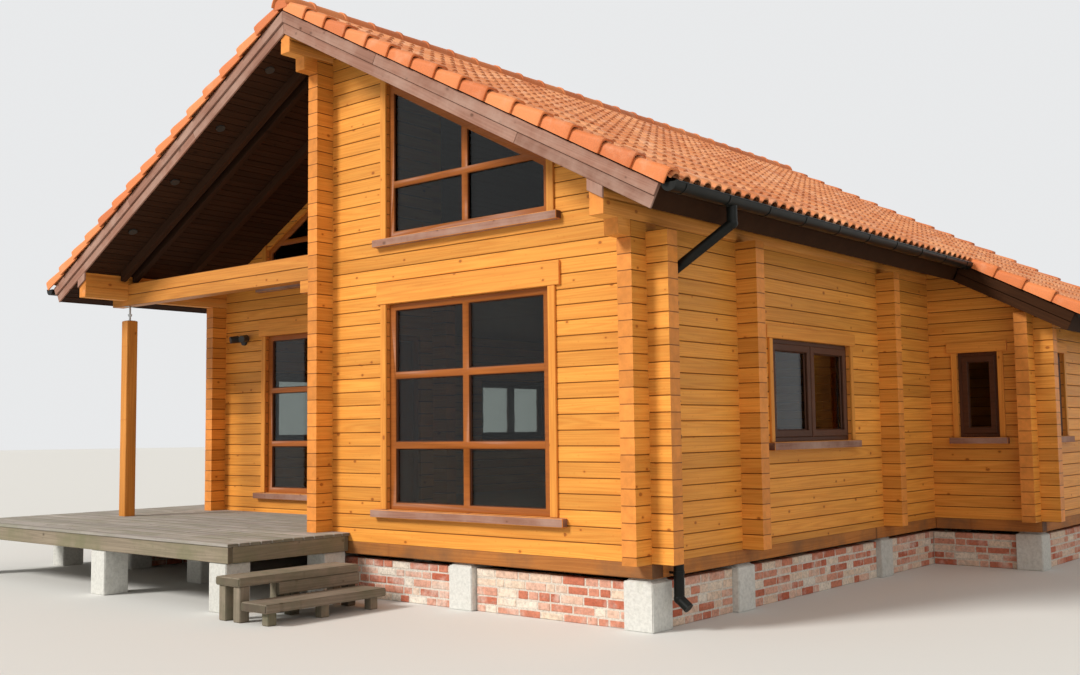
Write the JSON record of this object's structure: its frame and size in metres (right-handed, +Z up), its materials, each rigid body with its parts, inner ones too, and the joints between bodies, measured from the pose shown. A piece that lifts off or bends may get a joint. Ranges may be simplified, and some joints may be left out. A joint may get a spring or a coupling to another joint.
{
  "type": "log cabin",
  "caption": "Gabled holiday cabin of squared logs with a recessed corner porch, a clay tile roof, a side wing, and a timber deck with steps on concrete piers",
  "frame": {"origin": "centre of the footprint's bounding box, at ground level under the piers", "axes": "+Z up; the gable front with the porch faces -Y; the side wing is on +X"},
  "size_m": [11.0512, 11.635, 6.102],
  "materials": {
    "wall_log": "honey-orange glazed machined pine logs, satin",
    "trim_wood": "mauve-brown stained boards, matt, weathered",
    "window_wood": "red-brown stained joinery, satin",
    "glass": "clear double glazing",
    "roof_timber": "dark brown stained boards",
    "roof_tile": null,
    "floor_board": "planed pine floor boards, satin",
    "deck_wood": "weathered grey boards with green algae, rough",
    "concrete": null,
    "brick": null,
    "gutter_metal": "black coated sheet steel, semi-gloss",
    "jack_steel": "galvanised steel",
    "lamp_metal": "dark grey coated aluminium"
  },
  "bodies": {
    "root": {"house_piers": "concrete", "brick_plinth": "brick", "sill_beams": "trim_wood", "ground_floor": "floor_board", "loft_floor": "floor_board", "front_wall": "wall_log", "porch_side_wall": "wall_log", "porch_back_wall": "wall_log", "left_wall": "wall_log", "right_wall": "wall_log", "back_wall": "wall_log", "wing_front_wall": "wall_log", "wing_side_wall": "wall_log", "cross_wall_stubs": "wall_log", "porch_beam": "wall_log", "roof_purlins": "wall_log", "porch_rafters": "roof_timber", "porch_post": "wall_log", "post_jack": "jack_steel", "left_roof_boarding": "roof_timber", "right_roof_boarding": "roof_timber", "wing_roof_boarding": "roof_timber", "tile_battens": "roof_timber", "left_roof_tiles": "roof_tile", "right_roof_tiles": "roof_tile", "wing_roof_tiles": "roof_tile", "ridge_tiles": "roof_tile", "verge_tiles": "roof_tile", "barge_boards": "trim_wood", "eaves_boards": "trim_wood", "gutters": "gutter_metal", "downpipes": "gutter_metal", "large_windows": "window_wood", "gable_windows": "window_wood", "casement_windows": "window_wood", "window_glass": "glass", "window_trims": "trim_wood", "entrance_door": "window_wood", "door_frame": "window_wood", "deck_boards": "deck_wood", "deck_frame": "deck_wood", "deck_piers": "concrete", "step_treads": "deck_wood", "step_supports": "deck_wood", "porch_lamps": "lamp_metal"}
  },
  "joints": []
}
